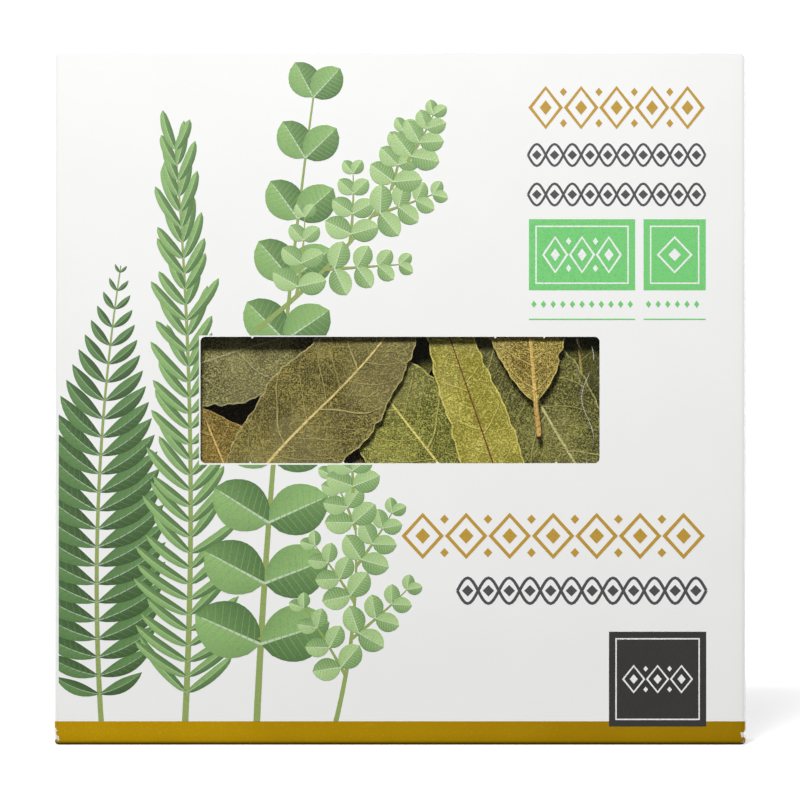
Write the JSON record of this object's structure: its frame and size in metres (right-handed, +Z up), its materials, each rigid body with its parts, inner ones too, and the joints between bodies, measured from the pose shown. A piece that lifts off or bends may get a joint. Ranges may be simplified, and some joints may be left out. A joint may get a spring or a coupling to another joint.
{
  "type": "folding carton of dried bay leaves",
  "caption": "Slim white folding carton with a clear film window over a fill of dried bay leaves, closed by a hinged lid whose tongue tucks in at the top.",
  "frame": {"origin": "middle of the bottom of the standing carton", "axes": "+X to the right across the front, +Y from the front to the back, +Z up"},
  "size_m": [0.14, 0.02, 0.14],
  "materials": {
    "board": "white coated folding boxboard, satin outside, matt grey-white inside",
    "film": "clear glossy film",
    "leaf_olive": "dried leaf, satin, olive green with pale veins",
    "leaf_golden": "dried leaf, satin, golden olive with tan veins",
    "leaf_dark": "dried leaf, satin, dark green with pale veins"
  },
  "bodies": {
    "carton": {"carton_sleeve": "board", "dust_flap_right": "board", "dust_flap_left": "board", "window_film": "film", "leaf_a": "leaf_olive", "leaf_b": "leaf_olive", "leaf_c": "leaf_golden", "leaf_d": "leaf_olive", "leaf_e": "leaf_golden", "leaf_f": "leaf_dark", "leaf_g": "leaf_golden", "leaf_h": "leaf_olive", "leaf_i": "leaf_dark", "leaf_j": "leaf_olive", "leaf_back_01": "leaf_olive", "leaf_back_02": "leaf_dark", "leaf_back_03": "leaf_golden", "leaf_back_04": "leaf_olive", "leaf_back_05": "leaf_dark", "leaf_back_06": "leaf_golden", "leaf_back_07": "leaf_olive", "leaf_back_08": "leaf_dark", "leaf_back_09": "leaf_golden", "leaf_back_10": "leaf_olive", "leaf_back_11": "leaf_dark", "leaf_back_12": "leaf_golden", "leaf_back_13": "leaf_olive", "leaf_back_14": "leaf_dark", "leaf_back_15": "leaf_golden", "leaf_back_16": "leaf_olive", "leaf_back_17": "leaf_dark", "leaf_back_18": "leaf_golden"},
    "lid": {"lid": "board"}
  },
  "joints": [
    {"name": "lid_hinge", "type": "hinge", "parent": "carton", "child": "lid", "pos_m": [0, 0.0101, 0.13935], "axis": [-1, 0, 0], "range_deg": [0, 180]}
  ]
}
